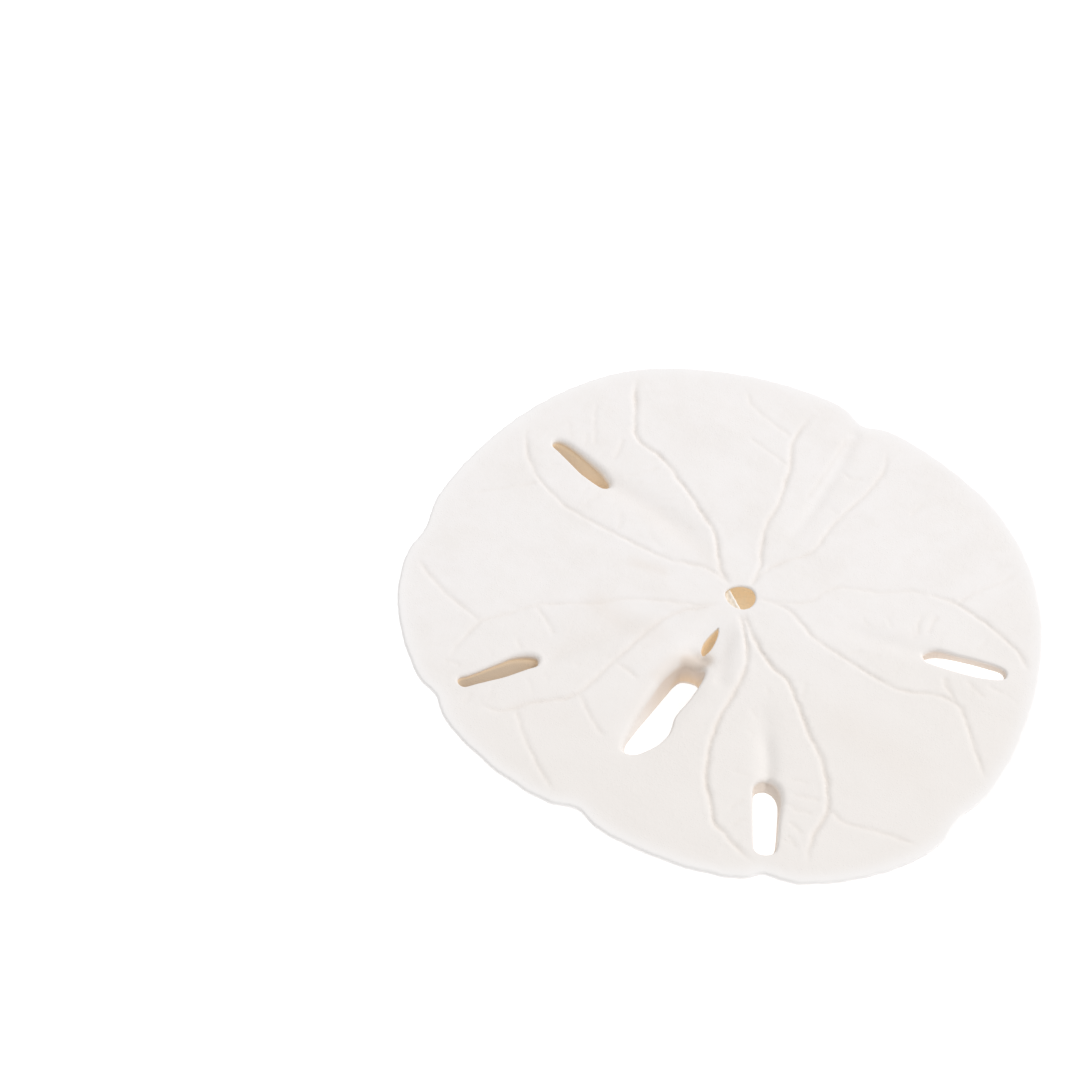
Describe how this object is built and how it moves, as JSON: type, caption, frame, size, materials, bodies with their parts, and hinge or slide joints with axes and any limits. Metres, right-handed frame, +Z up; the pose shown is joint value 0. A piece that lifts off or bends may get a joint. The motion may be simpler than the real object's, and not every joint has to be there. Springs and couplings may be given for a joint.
{
  "type": "keyhole sand dollar",
  "caption": "Bleached test of a keyhole sand dollar, oral side up, with slot-like lunules, mouth, branching food grooves, and petals on its domed back.",
  "frame": {"origin": "middle of the bounding box, on the surface that the domed side rests on", "axes": "+X across the test, +Y towards its front, away from the anal lunule, +Z up out of the oral face"},
  "size_m": [0.1008, 0.096, 0.0113],
  "materials": {
    "test": "matt bleached calcite"
  },
  "bodies": {
    "root": {"sand_dollar": "test"}
  },
  "joints": []
}
